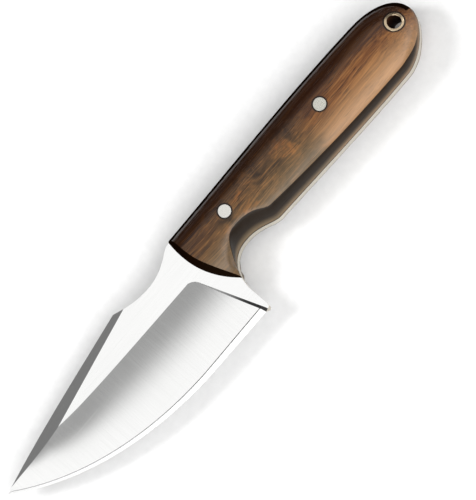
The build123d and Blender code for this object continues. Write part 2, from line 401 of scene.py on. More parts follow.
def drill(piece, places):
    """Cuts round upright holes right through a piece."""
    bm = bmesh.new()
    depth = 4 * HANDLE_HALF * MM
    for (x, y), radius in places:
        size = radius * MM
        bmesh.ops.create_cone(
            bm,
            cap_ends=True,
            segments=HOLE_SEGMENTS,
            radius1=size,
            radius2=size,
            depth=depth,
            matrix=Matrix.Translation(station(x, y, 0)),
        )
    tool = bpy.data.objects.new("drill", to_mesh(bm, "drill"))
    bpy.context.scene.collection.objects.link(tool)
    cut = piece.modifiers.new("holes", "BOOLEAN")
    cut.operation = "DIFFERENCE"
    cut.solver = "EXACT"
    cut.object = tool
    apply_modifiers(piece)
    bpy.data.objects.remove(tool)


def break_corners(piece, width, keep):
    """A small chamfer along the outline's square corners, where keep(x, y, z) allows it."""
    bm = bmesh.new()
    bm.from_mesh(piece.data)
    bm.normal_update()
    size = width * MM
    corners = []
    for edge in bm.edges:
        x, y, z = ((edge.verts[0].co + edge.verts[1].co) / 2 - ORIGIN) / MM
        sharp = edge.calc_face_angle(0) > SQUARE_CORNER
        if sharp and edge.calc_length() > size and keep(x, y, z):
            corners.append(edge)
    bmesh.ops.bevel(
        bm, geom=corners, offset=size, segments=1, affect="EDGES", clamp_overlap=True
    )
    bm.to_mesh(piece.data)
    bm.free()


def new_piece(name, mesh, materials, nodes):
    """A visible piece that rides the knife's one body and stands for nodes of the CAD."""
    piece = bpy.data.objects.new(name, mesh)
    bpy.context.scene.collection.objects.link(piece)
    for material in materials:
        mesh.materials.append(material)
    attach(piece, "root")
    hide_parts(*nodes)
    return piece


def flipped(mesh, name):
    """The same mesh on the knife's other side."""
    bm = bmesh.new()
    bm.from_mesh(mesh)
    for vertex in bm.verts:
        vertex.co.z = 2 * ORIGIN.z - vertex.co.z
    bmesh.ops.reverse_faces(bm, faces=bm.faces)
    other = bpy.data.meshes.new(name)
    bm.to_mesh(other)
    bm.free()
    return other


# Materials of the blade's faces, in the order of its material slots
FLAT, HOLLOW_FACE, BEVEL_FACE, SHOULDER_FACE, PLUNGE_FACE, RIM = range(6)
CORNER_BREAK = 0.12


def blade_finish(i, j, plunge):
    """The material of the blade's face in column i and row j; plunge is the wall's column."""
    if j >= GRIND_ROW or i > plunge:
        return FLAT
    if i == plunge:
        return PLUNGE_FACE
    if j < SHOULDER_ROW:
        return BEVEL_FACE
    return SHOULDER_FACE if j < BAND_ROW else HOLLOW_FACE


def outline_corner(x, y, z):
    """Whether a place is on the outline behind the clip, at one of the steel's faces."""
    inside = any(math.dist((x, y), place) < radius + 1 for place, radius in FASTENERS)
    return abs(z) > STEEL_HALF - 0.1 and x > CLIP_CORNER[0] and not inside


def build_blade(materials):
    ground, flat = blade_columns()
    columns = ground + flat
    plunge = len(ground) - 1
    bm = bmesh.new()
    make = vertex_maker(bm)
    top = [[make(x, y, z) for x, y, z in column] for column in columns]
    bottom = [[make(x, y, -z) for x, y, z in column] for column in columns]
    for grid in (top, bottom):
        for i in range(len(grid) - 1):
            for j in range(SPINE_ROW):
                corners = (grid[i][j], grid[i + 1][j], grid[i + 1][j + 1], grid[i][j + 1])
                quad(bm, corners, blade_finish(i, j, plunge))
    for i in range(len(columns) - 1):
        for j in (0, SPINE_ROW):
            quad(bm, (top[i][j], top[i + 1][j], bottom[i + 1][j], bottom[i][j]), RIM)
    for i in (0, len(columns) - 1):
        for j in range(SPINE_ROW):
            quad(bm, (top[i][j], top[i][j + 1], bottom[i][j + 1], bottom[i][j]), RIM)
    mesh = to_mesh(bm, "blade_steel")
    piece = new_piece("ground_blade", mesh, materials, ["blade"])
    drill(piece, FASTENERS)
    break_corners(piece, CORNER_BREAK, outline_corner)
    crease(piece, face_angle=2.5, wall_angle=35)


# The handle scale's surface


OUTLINE_STEPS = 120


def outline_finder():
    """Points round the handle from the spine over the butt to the heel, and a tree of them."""
    points = []
    curves = [SPINE, BUTT_TOP]
    curves += [curve[::-1] for curve in (BUTT_BOTTOM, BELLY, GROOVE_REAR, GROOVE_FRONT)]
    for curve in curves:
        points += [cubic(curve, t) for t in spread(0, 1, OUTLINE_STEPS)]
    points.append(cubic(curves[-1], 1.0))
    tree = KDTree(len(points))
    for i, (x, y) in enumerate(points):
        tree.insert((x, y, 0), i)
    tree.balance()
    return tree, [Vector((x, y, 0)) for x, y in points]


OUTLINE_TREE, OUTLINE = outline_finder()


def inset(x, y):
    """Distance from a point to the handle's outline."""
    point = Vector((x, y, 0))
    _, nearest, distance = OUTLINE_TREE.find(point)
    for i in (nearest - 1, nearest):
        if 0 <= i < len(OUTLINE) - 1:
            foot, share = intersect_point_line(point, OUTLINE[i], OUTLINE[i + 1])
            if 0 <= share <= 1:
                distance = min(distance, (foot - point).length)
    return distance


def soft_lower(a, b, width):
    """The lower of two heights, rounded where they cross."""
    share = max(width - abs(a - b), 0) / width
    return min(a, b) - share * share * width / 4


def face_z(x, y):
    """Height of the scale's crowned face."""
    crown = HANDLE_HALF
    if y < LAND[0]:
        reach = min(LAND[0] - y, BELLY_DOME_RADIUS)
        crown -= BELLY_DOME_RADIUS - math.sqrt(BELLY_DOME_RADIUS**2 - reach**2)
    elif y > LAND[1]:
        reach = y - LAND[1]
        crown -= SPINE_DOME_RADIUS - math.sqrt(SPINE_DOME_RADIUS**2 - reach**2)
    depth = inset(x, y)
    height = crown
    if depth < SPINE_ROUNDING:
        rest = SPINE_ROUNDING - depth
        rounded = HANDLE_HALF - SPINE_ROUNDING + math.sqrt(SPINE_ROUNDING**2 - rest**2)
        width = ROUNDING_BLEND * ease(rest, 0, ROUNDING_BLEND_RUN) + LEAST_BLEND
        height = soft_lower(crown, rounded, width)
    reach = max(0, x - BUTT_SLOPE_START)
    drop = BUTT_SLOPE_RADIUS - math.sqrt(BUTT_SLOPE_RADIUS**2 - reach**2)
    squeeze = (HANDLE_HALF - drop - SCALE_START) / (HANDLE_HALF - SCALE_START)
    return SCALE_START + (height - SCALE_START) * squeeze


def front_x(y, z):
    """The scale's front face: a curved edge that leans back as it rises."""
    return curve_x(SCALE_FRONT, y) + SCALE_FRONT_LEAN * (z - STEEL_HALF)


def side_point(spans, t, z):
    """The belly side at height z: it leans from the tang's outline in to the ridge line."""
    low, high = spans
    lean = (z - STEEL_HALF) / (RIDGE_HEIGHT - STEEL_HALF)
    return between(cubic(low, t), cubic(high, t), lean)


GROOVE_FRONT_SPANS = (GROOVE_FRONT, RIDGE_GROOVE_FRONT)


def nose_t(z):
    """Where the front face cuts the belly side, as a share of the groove's front curve."""

    def past_front(t):
        x, y = side_point(GROOVE_FRONT_SPANS, t, z)
        return x - front_x(y, z)

    return solve(past_front, 0, 1)


# Rows and columns of a scale's grid. The swell is full where the side leans in by SWELL_RUN or
# more, and the ridge is rounded over RIDGE_SOFTNESS on both sides.
SIDE_ROWS = 14
FACE_ROWS = 60
SIDE_SWELL = 0.45
SWELL_RUN = 1.5
RIDGE_SOFTNESS = 1.1
RIDGE_ROWS = (0.2, 0.4, 0.6, 0.8)
NOSE_COLUMNS = 30
NOSE_CROWDING = 1.2
FRONT_FADE_COLUMNS = 24
LAST_BUTT_COLUMNS = [0.985, 0.992, 0.997]
LEAST_RUN = 0.01
WIDEST_FIRST_ROW = 0.3


def scale_places():
    """Per column: the belly side's point at any height, and the far end on the spine outline."""
    places = []
    for i in range(NOSE_COLUMNS):
        share = (i / NOSE_COLUMNS) ** NOSE_CROWDING
        x = mix(SPINE[0][0], GROOVE_REAR[0][0], share)

        def side(z, share=share):
            return side_point(GROOVE_FRONT_SPANS, mix(nose_t(z), 1, share), z)

        places.append((side, (x, spine_y(x))))
    spans = [
        ((GROOVE_REAR, RIDGE_GROOVE_REAR), spread(0, 1, 30)),
        ((BELLY, RIDGE_BELLY), spread(0, 1, 60)),
        ((BUTT_BOTTOM, RIDGE_BUTT), spread(0, 1, 48) + LAST_BUTT_COLUMNS),
    ]
    for pair, shares in spans:
        for t in shares:
            low_x = cubic(pair[0], t)[0]
            far = cubic(BUTT_TOP, t) if pair[0] is BUTT_BOTTOM else (low_x, spine_y(low_x))
            places.append((lambda z, pair=pair, t=t: side_point(pair, t, z), far))
    return places


def side_rows(side, ridge_z):
    """Points up the belly side, swelling a little, to just under the ridge."""
    low, ridge = side(SCALE_START), side(ridge_z)
    run, rise = math.dist(low, ridge), ridge_z - SCALE_START
    length = math.hypot(run, rise)
    last = 1 - RIDGE_SOFTNESS / length
    points = []
    for j in range(SIDE_ROWS):
        t = last * j / (SIDE_ROWS - 1)
        swell = SIDE_SWELL * 4 * t * (1 - t) * min(1, run / SWELL_RUN)
        z = mix(SCALE_START, ridge_z, t)
        x, y = side(z)
        out = swell * rise / length / max(run, LEAST_RUN)
        x += (low[0] - ridge[0]) * out
        y += (low[1] - ridge[1]) * out
        points.append((x, y, z + swell * run / length))
    return points


def face_rows(ridge, far):
    """Places from the ridge across the face, closer together towards the far edge."""
    first = min(WIDEST_FIRST_ROW, RIDGE_SOFTNESS / math.dist(ridge, far))
    shares = [0.0]
    for j in range(FACE_ROWS):
        shares.append(mix(first, 1, math.sin(math.pi / 2 * j / (FACE_ROWS - 1))))
    return [between(ridge, far, share) for share in shares]


def front_shifts(flat):
    """How far the first column's points move along x to lie on the front face."""
    shifts = []
    for x, y in flat:
        shifts.append(curve_x(SCALE_FRONT, y) - x + SCALE_FRONT_LEAN * (face_z(x, y) - STEEL_HALF))
    shifts[0] = 0.0
    return shifts


def scale_grid():
    """Columns from the scale's front edge to its butt, each up the side and across the face."""
    columns = []
    shifts = []
    for i, (side, far) in enumerate(scale_places()):
        ridge_z = solve(lambda z: z - face_z(*side(z)), SCALE_START, HANDLE_HALF)
        flat = face_rows(side(ridge_z), far)
        if not columns:
            shifts = front_shifts(flat)
        fade = 1 - ease(i, 0, FRONT_FADE_COLUMNS)
        flat = [(x + shift * fade, y) for (x, y), shift in zip(flat, shifts)]
        rows = side_rows(side, ridge_z) + [(x, y, face_z(x, y)) for x, y in flat]
        under, ridge, over = rows[SIDE_ROWS - 1], rows[SIDE_ROWS], rows[SIDE_ROWS + 1]
        rows[SIDE_ROWS : SIDE_ROWS + 1] = [
            between(between(under, ridge, t), between(ridge, over, t), t) for t in RIDGE_ROWS
        ]
        columns.append(rows)
    return columns


# Materials of a scale's faces, in the order of its material slots
# The side's and the spine edge's materials carry painted shade in their colour.
WOOD, SIDE, EDGE_WOOD_PAINTED_SHADE = range(3)
# How far in from the spine's outline the painted near-black shade reaches
SPINE_SHADE_DEPTH = 1.7


def scale_finish(i, j, columns):
    """The material of the scale's face in column i and row j; the side and the faces along the
    spine take materials with painted shade.
    """
    if j < SIDE_ROWS + 1:
        return SIDE
    x, y, _ = columns[i][j]
    return EDGE_WOOD_PAINTED_SHADE if y > TUBE_AT[1] and inset(x, y) < SPINE_SHADE_DEPTH else WOOD


def scale_mesh():
    """The closed left scale: side and face, front face, butt and the back against the resin."""
    columns = scale_grid()
    fars = [(x, y, SCALE_START) for x, y, _ in (column[-1] for column in columns)]
    feet = [(front_x(y, SCALE_START), y, SCALE_START) for _, y, _ in columns[0]]
    feet[0] = columns[0][0]
    fars[0] = feet[-1]
    bm = bmesh.new()
    make = vertex_maker(bm)
    grid = [[make(*point) for point in column] for column in columns]
    back = [make(*point) for point in fars]
    foot = [make(*point) for point in feet]
    rows = len(grid[0])
    for i in range(len(grid) - 1):
        for j in range(rows - 1):
            corners = (grid[i][j], grid[i + 1][j], grid[i + 1][j + 1], grid[i][j + 1])
            quad(bm, corners, scale_finish(i, j, columns))
        # The spine wall takes the material with painted near-black shade.
        quad(bm, (grid[i][-1], grid[i + 1][-1], back[i + 1], back[i]), EDGE_WOOD_PAINTED_SHADE)
        quad(bm, (grid[i][0], grid[i + 1][0], back[i + 1], back[i]))
    # The front face takes the material with painted near-black shade.
    for j in range(rows - 1):
        quad(bm, (grid[0][j], grid[0][j + 1], foot[j + 1], foot[j]), EDGE_WOOD_PAINTED_SHADE)
    quad(bm, foot)
    quad(bm, grid[-1] + [back[-1]])
    return to_mesh(bm, "left_scale_wood")


def build_scales(materials):
    """Both scales; the right one mirrors the left."""
    mesh = scale_mesh()
    left = new_piece("left_scale_wood", mesh, materials, ["left_scale"])
    drill(left, [(place, radius + COLLAR_WALL) for place, radius in FASTENERS])
    crease(left, face_angle=28, wall_angle=40)
    mesh = flipped(left.data, "right_scale_wood")
    new_piece("right_scale_wood", mesh, materials, ["right_scale"])


# Fasteners and resin

PIN_ROUNDING = 0.06
TUBE_ROUNDING = 0.08
COLLAR_DROP = 0.02


def ring_mesh(bm, place, inner, outer, low, high, rounding=0.0, bore=0):
    """
    A closed tube, or a solid bar where inner is 0, with its corners broken.

    low and high give the ends' heights at a place, and bore is the material inside the tube.
    """
    loops = []
    if inner:
        loops += [(inner, low, rounding), (inner, high, -rounding), (inner + rounding, high, 0)]
        loops += [(outer - rounding, high, 0), (outer, high, -rounding), (outer, low, rounding)]
        loops += [(outer - rounding, low, 0), (inner + rounding, low, 0)]
    else:
        loops += [(outer - rounding, high, 0), (outer, high, -rounding)]
        loops += [(outer, low, rounding), (outer - rounding, low, 0)]
    rings = []
    for radius, height, step in loops:
        ring = []
        for k in range(RING_SEGMENTS):
            angle = 2 * math.pi * k / RING_SEGMENTS
            x = place[0] + radius * math.cos(angle)
            y = place[1] + radius * math.sin(angle)
            ring.append(bm.verts.new(station(x, y, height(x, y) + step)))
        rings.append(ring)
    pairs = list(zip(rings, rings[1:]))
    if inner:
        pairs.append((rings[-1], rings[0]))
    else:
        bm.faces.new(rings[0])
        bm.faces.new(rings[-1])
    for a, b in pairs:
        finish = bore if inner and a is rings[0] else 0
        for k in range(RING_SEGMENTS):
            n = (k + 1) % RING_SEGMENTS
            quad(bm, (a[k], a[n], b[n], b[k]), finish)


def level(z):
    """A flat end at one height."""
    return lambda x, y: z


def resin_top(x, y):
    """Collars end a hair under the wood's face."""
    return face_z(x, y) - COLLAR_DROP


def build_pins(front_metal, rear_metal):
    pins = (("front_pin", FRONT_PIN_AT, front_metal), ("rear_pin", REAR_PIN_AT, rear_metal))
    for name, place, material in pins:
        bm = bmesh.new()
        low, high = level(-HANDLE_HALF), level(HANDLE_HALF)
        ring_mesh(bm, place, 0, PIN_RADIUS, low, high, PIN_ROUNDING)
        piece = new_piece(name + "_rod", to_mesh(bm, name), [material], [name])
        crease(piece, face_angle=30, wall_angle=30)


def build_tube(materials):
    """The tube, whose ends follow the sloping faces; its second material lines the bore."""
    bm = bmesh.new()

    def low(x, y):
        return -face_z(x, y)

    ring_mesh(bm, TUBE_AT, BORE_RADIUS, TUBE_RADIUS, low, face_z, TUBE_ROUNDING, bore=1)
    mesh = to_mesh(bm, "lanyard_liner")
    piece = new_piece("lanyard_liner", mesh, materials, ["lanyard_tube"])
    crease(piece, face_angle=30, wall_angle=30)


def bond_rim():
    """The outline of the bond line: round the handle to the nose, then up the front edge."""
    rim = []
    for curve, count in ((SPINE, 40), (BUTT_TOP, 32)):
        rim += [cubic(curve, t) for t in spread(0, 1, count)]
    for curve, count in ((BUTT_BOTTOM, 32), (BELLY, 30), (GROOVE_REAR, 24)):
        rim += [cubic(curve[::-1], t) for t in spread(0, 1, count)]
    nose = nose_t(SCALE_START)
    rim += [cubic(GROOVE_FRONT, mix(1, nose, i / 24)) for i in range(25)]
    low_y, high_y = rim[-1][1], rim[0][1]
    heights = [mix(low_y, high_y, (i + 1) / 40) for i in range(39)]
    rim += [(front_x(y, SCALE_START), y) for y in heights]
    rim[0] = (front_x(high_y, SCALE_START), high_y)
    return rim


def build_epoxy(material):
    """The thin bond line beside the tang, with a collar round each fastener."""
    bm = bmesh.new()
    rim = bond_rim()
    lower = [bm.verts.new(station(x, y, STEEL_HALF)) for x, y in rim]
    upper = [bm.verts.new(station(x, y, SCALE_START)) for x, y in rim]
    bm.faces.new(lower)
    bm.faces.new(upper)
    for k in range(len(rim)):
        n = (k + 1) % len(rim)
        quad(bm, (lower[k], lower[n], upper[n], upper[k]))
    left = new_piece("left_bond", to_mesh(bm, "left_bond"), [material], ["left_epoxy"])
    drill(left, FASTENERS)
    bm = bmesh.new()
    bm.from_mesh(left.data)
    for place, radius in FASTENERS:
        outer = radius + COLLAR_WALL
        ring_mesh(bm, place, radius, outer, level(SCALE_START), resin_top)
    left.data = to_mesh(bm, "left_bond")
    left.data.materials.append(material)
    crease(left, face_angle=30, wall_angle=40)
    mesh = flipped(left.data, "right_bond")
    new_piece("right_bond", mesh, [material], ["right_epoxy"])


# Materials. Colours are 8-bit, noise scales are per millimetre and bump depths are millimetres.

REAR_GRAIN = [
    (0.3, (62, 32, 10)),
    (0.45, (98, 57, 24)),
    (0.56, (122, 77, 36)),
    (0.7, (148, 100, 54)),
]
BURL_FIGURE = [
    (0.3, (40, 27, 15)),
    (0.45, (74, 53, 31)),
    (0.55, (98, 68, 38)),
    (0.68, (136, 86, 42)),
]
FRONT_GRAIN = [
    (0.3, (46, 26, 12)),
    (0.45, (70, 44, 22)),
    (0.6, (92, 62, 32)),
    (0.75, (108, 74, 40)),
]
# The front's straight grain fades out and the rear's fades in over these stretches of x
FRONT_END = (98, 118)
REAR_START = (142, 160)
BORDER_WANDER = 30
# The dark ring that the resin leaves in the wood, measured from its collar
SOAK_START = 0.05
SOAK_END = 0.45


class Nodes:
    """Short names for building one shader."""

    def __init__(self, name):
        self.material = bpy.data.materials.new(name)
        self.material.use_nodes = True
        self.tree = self.material.node_tree
        self.shader = self.tree.nodes["Principled BSDF"]
        self.position = self.add("ShaderNodeNewGeometry").outputs["Position"]

    def add(self, kind, **settings):
        node = self.tree.nodes.new(kind)
        for key, value in settings.items():
            setattr(node, key, value)
        return node

    def link(self, source, target):
        self.tree.links.new(source, target)

    def put(self, socket, value):
        if hasattr(value, "links"):
            self.link(value, socket)
        else:
            socket.default_value = value

    def stretched(self, scale, warp=None, amount=0.0, offset=(0, 0, 0)):
        """The position in millimetres times a scale per axis, pushed about by a warp vector."""
        place = self.vector_math("MULTIPLY_ADD", self.position, (TO_MM,) * 3, offset)
        if warp is not None:
            place = self.vector_math("MULTIPLY_ADD", warp, (amount,) * 3, place)
        return self.vector_math("MULTIPLY", place, scale)

    def station(self, axis):
        """One of the stations' coordinates, in millimetres."""
        node = self.add("ShaderNodeSeparateXYZ")
        self.link(self.position, node.inputs["Vector"])
        start = ORIGIN["XYZ".index(axis)]
        return self.math("MULTIPLY_ADD", node.outputs[axis], TO_MM, -start / MM)

    def vector_math(self, operation, *inputs):
        node = self.add("ShaderNodeVectorMath", operation=operation)
        for socket, value in zip(node.inputs, inputs):
            self.put(socket, value)
        return node.outputs[0]

    def math(self, operation, *inputs, clamp=False):
        node = self.add("ShaderNodeMath", operation=operation, use_clamp=clamp)
        for socket, value in zip(node.inputs, inputs):
            self.put(socket, value)
        return node.outputs[0]

    def noise(self, place, detail=4.0, roughness=0.5, colour=False):
        node = self.add("ShaderNodeTexNoise")
        self.link(place, node.inputs["Vector"])
        node.inputs["Scale"].default_value = 1.0
        node.inputs["Detail"].default_value = detail
        node.inputs["Roughness"].default_value = roughness
        return node.outputs["Color" if colour else "Fac"]

    def ramp(self, factor, stops):
        """Colours or greys by factor; stops are (place, colour)."""
        node = self.add("ShaderNodeValToRGB")
        node.color_ramp.interpolation = "LINEAR"
        while len(node.color_ramp.elements) < len(stops):
            node.color_ramp.elements.new(0.5)
        for element, (place, colour) in zip(node.color_ramp.elements, stops):
            element.position = place
            element.color = (*srgb(colour), 1)
        self.link(factor, node.inputs["Fac"])
        return node.outputs["Color"]

    def step(self, value, low, high, from_zero=True):
        """0 to 1 as value goes from low to high, or 1 to 0."""
        node = self.add("ShaderNodeMapRange", interpolation_type="SMOOTHSTEP")
        self.put(node.inputs["Value"], value)
        node.inputs["From Min"].default_value = low
        node.inputs["From Max"].default_value = high
        node.inputs["To Min"].default_value = 0 if from_zero else 1
        node.inputs["To Max"].default_value = 1 if from_zero else 0
        return node.outputs["Result"]

    def blend(self, factor, a, b, mode="MIX"):
        """A mix of two colours or sockets; inputs 6 and 7 are the node's colours A and B."""
        node = self.add("ShaderNodeMix", data_type="RGBA", blend_type=mode)
        self.put(node.inputs["Factor"], factor)
        self.put(node.inputs[6], a if hasattr(a, "links") else (*srgb(a), 1))
        self.put(node.inputs[7], b if hasattr(b, "links") else (*srgb(b), 1))
        return node.outputs[2]

    def bump(self, height, distance, strength=1.0):
        node = self.add("ShaderNodeBump")
        self.link(height, node.inputs["Height"])
        node.inputs["Distance"].default_value = distance * MM
        node.inputs["Strength"].default_value = strength
        return node.outputs["Normal"]

    def finish(self, **values):
        """Sets the shader's inputs, whose names have _ for a space, and gives the material."""
        for key, value in values.items():
            self.put(self.shader.inputs[key.replace("_", " ")], value)
        return self.material


def srgb(colour):
    """Linear values of an 8-bit colour or grey."""
    channels = (colour,) * 3 if isinstance(colour, (int, float)) else colour
    shares = [c / 255 for c in channels]
    return tuple(
        ((c + 0.055) / 1.055) ** 2.4 if c > 10 / 255 else c / 12.92 for c in shares
    )


def steel(name, line_scale, roughness, line_depth):
    """Polished steel with fine polishing lines, faint clouding and a few stray scratches."""
    n = Nodes(name)
    lines = n.noise(n.stretched(line_scale), detail=6, roughness=0.65)
    clouds = n.noise(n.stretched((0.05, 0.05, 0.05)), detail=3)
    streaks = n.noise(n.stretched((0.02, 1.3, 1.3), offset=(7, 3, 1)), detail=4)
    scratch = n.ramp(streaks, [(0.0, 0), (0.66, 0), (0.7, 255)])
    rough = n.math("MULTIPLY_ADD", clouds, 0.05, roughness - 0.02)
    rough = n.math("MULTIPLY_ADD", lines, 0.04, rough)
    rough = n.math("MULTIPLY_ADD", scratch, 0.03, rough)
    tint = n.ramp(lines, [(0.2, (243, 243, 242)), (0.8, (252, 252, 251))])
    normal = n.bump(lines, line_depth)
    return n.finish(Base_Color=tint, Metallic=1.0, Roughness=rough, Normal=normal)


def steel_with_painted_shade(name, places, greys, roughness, axis="X"):
    """Ground steel with painted shade: its grey changes between two places on an axis."""
    n = Nodes(name)
    along = n.station(axis)
    lines = n.noise(n.stretched((3.0, 0.6, 0.6)), detail=5, roughness=0.7)
    first, last = greys
    low, high = sorted(places)
    # Painted shade: the tint goes from the first grey at the first place to the last grey at the
    # last.
    painted_shade = n.step(along, low, high, from_zero=places[0] < places[1])
    tint = n.blend(painted_shade, (first,) * 3, (last,) * 3)
    tint = n.blend(0.3, tint, n.ramp(lines, [(0.3, 150), (0.7, 255)]), "MULTIPLY")
    rough = n.math("MULTIPLY_ADD", lines, 0.1, roughness)
    return n.finish(Base_Color=tint, Metallic=1.0, Roughness=rough, Normal=n.bump(lines, 0.001))


def solid_metal(name, dark, light, roughness):
    """Pin and tube metal, sanded flush: fine crossing scratches over a soft polish."""
    n = Nodes(name)
    along = n.noise(n.stretched((0.5, 9, 2)), detail=5, roughness=0.7)
    across = n.noise(n.stretched((8, 0.6, 2), offset=(31, 5, 2)), detail=5, roughness=0.7)
    lines = n.math("ADD", along, across)
    tint = n.ramp(n.math("MULTIPLY", lines, 0.5), [(0.35, dark), (0.65, light)])
    rough = n.math("MULTIPLY_ADD", lines, 0.12, roughness)
    return n.finish(Base_Color=tint, Metallic=1.0, Roughness=rough, Normal=n.bump(lines, 0.002))


def bore_painted_shade(name):
    """The inside of the lanyard tube: rough and unpolished, with painted shade making it dark
    brown.
    """
    n = Nodes(name)
    spots = n.noise(n.stretched((0.9, 0.9, 0.5)), detail=5, roughness=0.7)
    # Painted shade: the bore is painted dark brown.
    tint = n.ramp(spots, [(0.3, (30, 14, 6)), (0.6, (58, 32, 16)), (0.75, (84, 52, 30))])
    rough = n.math("MULTIPLY_ADD", spots, 0.3, 0.6)
    return n.finish(
        Base_Color=tint, Roughness=rough, Specular_IOR_Level=0.1, Normal=n.bump(spots, 0.01)
    )


def resin(name):
    """Dark epoxy, a little glossy."""
    n = Nodes(name)
    grain = n.noise(n.stretched((1.5, 1.5, 1.5)), detail=5)
    tint = n.ramp(grain, [(0.3, (10, 6, 4)), (0.7, (24, 14, 9))])
    rough = n.math("MULTIPLY_ADD", grain, 0.2, 0.4)
    return n.finish(
        Base_Color=tint, Roughness=rough, Specular_IOR_Level=0.2, Normal=n.bump(grain, 0.01)
    )


def grain_regions(n, x):
    """Shares of the front's and the rear's straight grain; burl lies between their wavy borders."""
    wander = n.noise(n.stretched((0.06, 0.09, 0.09), offset=(3, 8, 2)), detail=3)
    start = n.math("SUBTRACT", x, BORDER_WANDER / 2)
    wandering_x = n.math("MULTIPLY_ADD", wander, BORDER_WANDER, start)
    front = n.step(wandering_x, *FRONT_END, from_zero=False)
    return front, n.step(wandering_x, *REAR_START)


def grain_tint(n, front, rear, drift, fibres):
    """Gently waving bands at both ends, tight curls in the burl, and fibres all through."""
    curl = n.noise(n.stretched((0.09, 0.12, 0.12), offset=(9, 4, 6)), detail=3, colour=True)
    bands = n.noise(n.stretched((0.03, 0.8, 0.8), drift, 5.0), detail=5, roughness=0.6)
    figure = n.noise(n.stretched((0.1, 0.24, 0.24), curl, 14.0), detail=5, roughness=0.55)
    tint = n.blend(rear, n.ramp(figure, BURL_FIGURE), n.ramp(bands, REAR_GRAIN))
    tint = n.blend(front, tint, n.ramp(bands, FRONT_GRAIN))
    return n.blend(0.45, tint, n.ramp(fibres, [(0.3, 110), (0.65, 255)]), "MULTIPLY")


def soaked_rings(n, tint, x, y):
    """Resin soaked into the wood round the fasteners."""
    for (fastener_x, fastener_y), radius in FASTENERS:
        dx = n.math("SUBTRACT", x, fastener_x)
        dy = n.math("SUBTRACT", y, fastener_y)
        away = n.math("SQRT", n.math("MULTIPLY_ADD", dx, dx, n.math("MULTIPLY", dy, dy)))
        collar = radius + COLLAR_WALL
        soaked = n.step(away, collar + SOAK_START, collar + SOAK_END, from_zero=False)
        tint = n.blend(n.math("MULTIPLY", soaked, 0.9), tint, (16, 8, 4))
    return tint


def wood(name, gloss, side=False, edge=False):
    """Oiled burl between stretches of straight grain, with a painted reflection haze towards the
    belly and painted shade towards the spine.
    """
    n = Nodes(name)
    x, y = n.station("X"), n.station("Y")
    front, rear = grain_regions(n, x)
    drift = n.noise(n.stretched((0.025, 0.06, 0.06)), detail=2, colour=True)
    fibres = n.noise(n.stretched((0.1, 4.2, 4.2), drift, 4.0), detail=5, roughness=0.7)
    tint = grain_tint(n, front, rear, drift, fibres)

    # short dark pores and faint pale streaks along the grain
    pores = n.noise(n.stretched((0.16, 3.0, 3.0), drift, 4.0, offset=(40, 7, 9)), detail=2)
    pore = n.ramp(pores, [(0.0, 255), (0.34, 255), (0.41, 0)])
    tint = n.blend(n.math("MULTIPLY", pore, 0.85), tint, (24, 10, 4))
    streaks = n.noise(n.stretched((0.1, 2.6, 2.6), drift, 4.0, offset=(4, 17, 3)), detail=2)
    streak = n.ramp(streaks, [(0.56, 0), (0.66, 255)])
    tint = n.blend(n.math("MULTIPLY", streak, 0.2), tint, (186, 130, 74))

    # painted reflection haze greys the face towards the belly ridge, and painted shade makes it
    # near black towards the spine
    shade_wobble = n.noise(n.stretched((0.03, 0.05, 0.05), offset=(15, 2, 4)), detail=3)
    grey = n.math("MULTIPLY", n.step(y, -5, 4, from_zero=False), 0.5)
    tint = n.blend(grey, tint, n.blend(rear, (106, 88, 62), (168, 132, 94)))
    shadow = n.step(n.math("MULTIPLY_ADD", shade_wobble, 5, y), 5.0, 12.5)
    tint = n.blend(n.math("MULTIPLY", shadow, 0.93), tint, (26, 9, 3))
    if side:
        # the belly side: painted bounce light from the floor lightens all of it, and painted shade
        # darkens it to near black just under the ridge
        painted_ridge_shade = n.step(n.math("ABSOLUTE", n.station("Z")), 2.4, 5.2)
        tint = n.blend(0.6, tint, (112, 96, 74))
        tint = n.blend(n.math("MULTIPLY", painted_ridge_shade, 0.95), tint, (16, 7, 2))
    if edge:
        # Painted shade: the spine's rounding, the spine wall and the front face are painted near
        # black.
        tint = n.blend(0.97, tint, (10, 4, 2))
    tint = soaked_rings(n, tint, x, y)

    relief = n.math("MULTIPLY_ADD", pore, -1.0, n.math("MULTIPLY", fibres, 0.35))
    rough = n.math("MULTIPLY_ADD", fibres, 0.14, 0.3)
    rough = n.math("MULTIPLY_ADD", pore, 0.2, rough)
    rough = n.math("MULTIPLY_ADD", shadow, -0.2, rough)
    return n.finish(
        Base_Color=tint,
        Roughness=rough,
        Specular_IOR_Level=gloss,
        Normal=n.bump(relief, 0.02, 0.5),
    )


# Stage: floor, light and camera, in metres

CAMERA_TILT = math.radians(14.5)
CAMERA_ROLL = math.radians(49)
CAMERA_DISTANCE = 2.4
# Height of the view at the knife. It is the view's longer side, so the sensor's width spans it.
VIEW_HEIGHT = 0.15975
SENSOR = 36.0
# Middle of the view from the stations' origin: along x, and up the tilted view
VIEW_CENTRE = (0.10717, -0.00421)
FLOOR_SIZE = 6.0


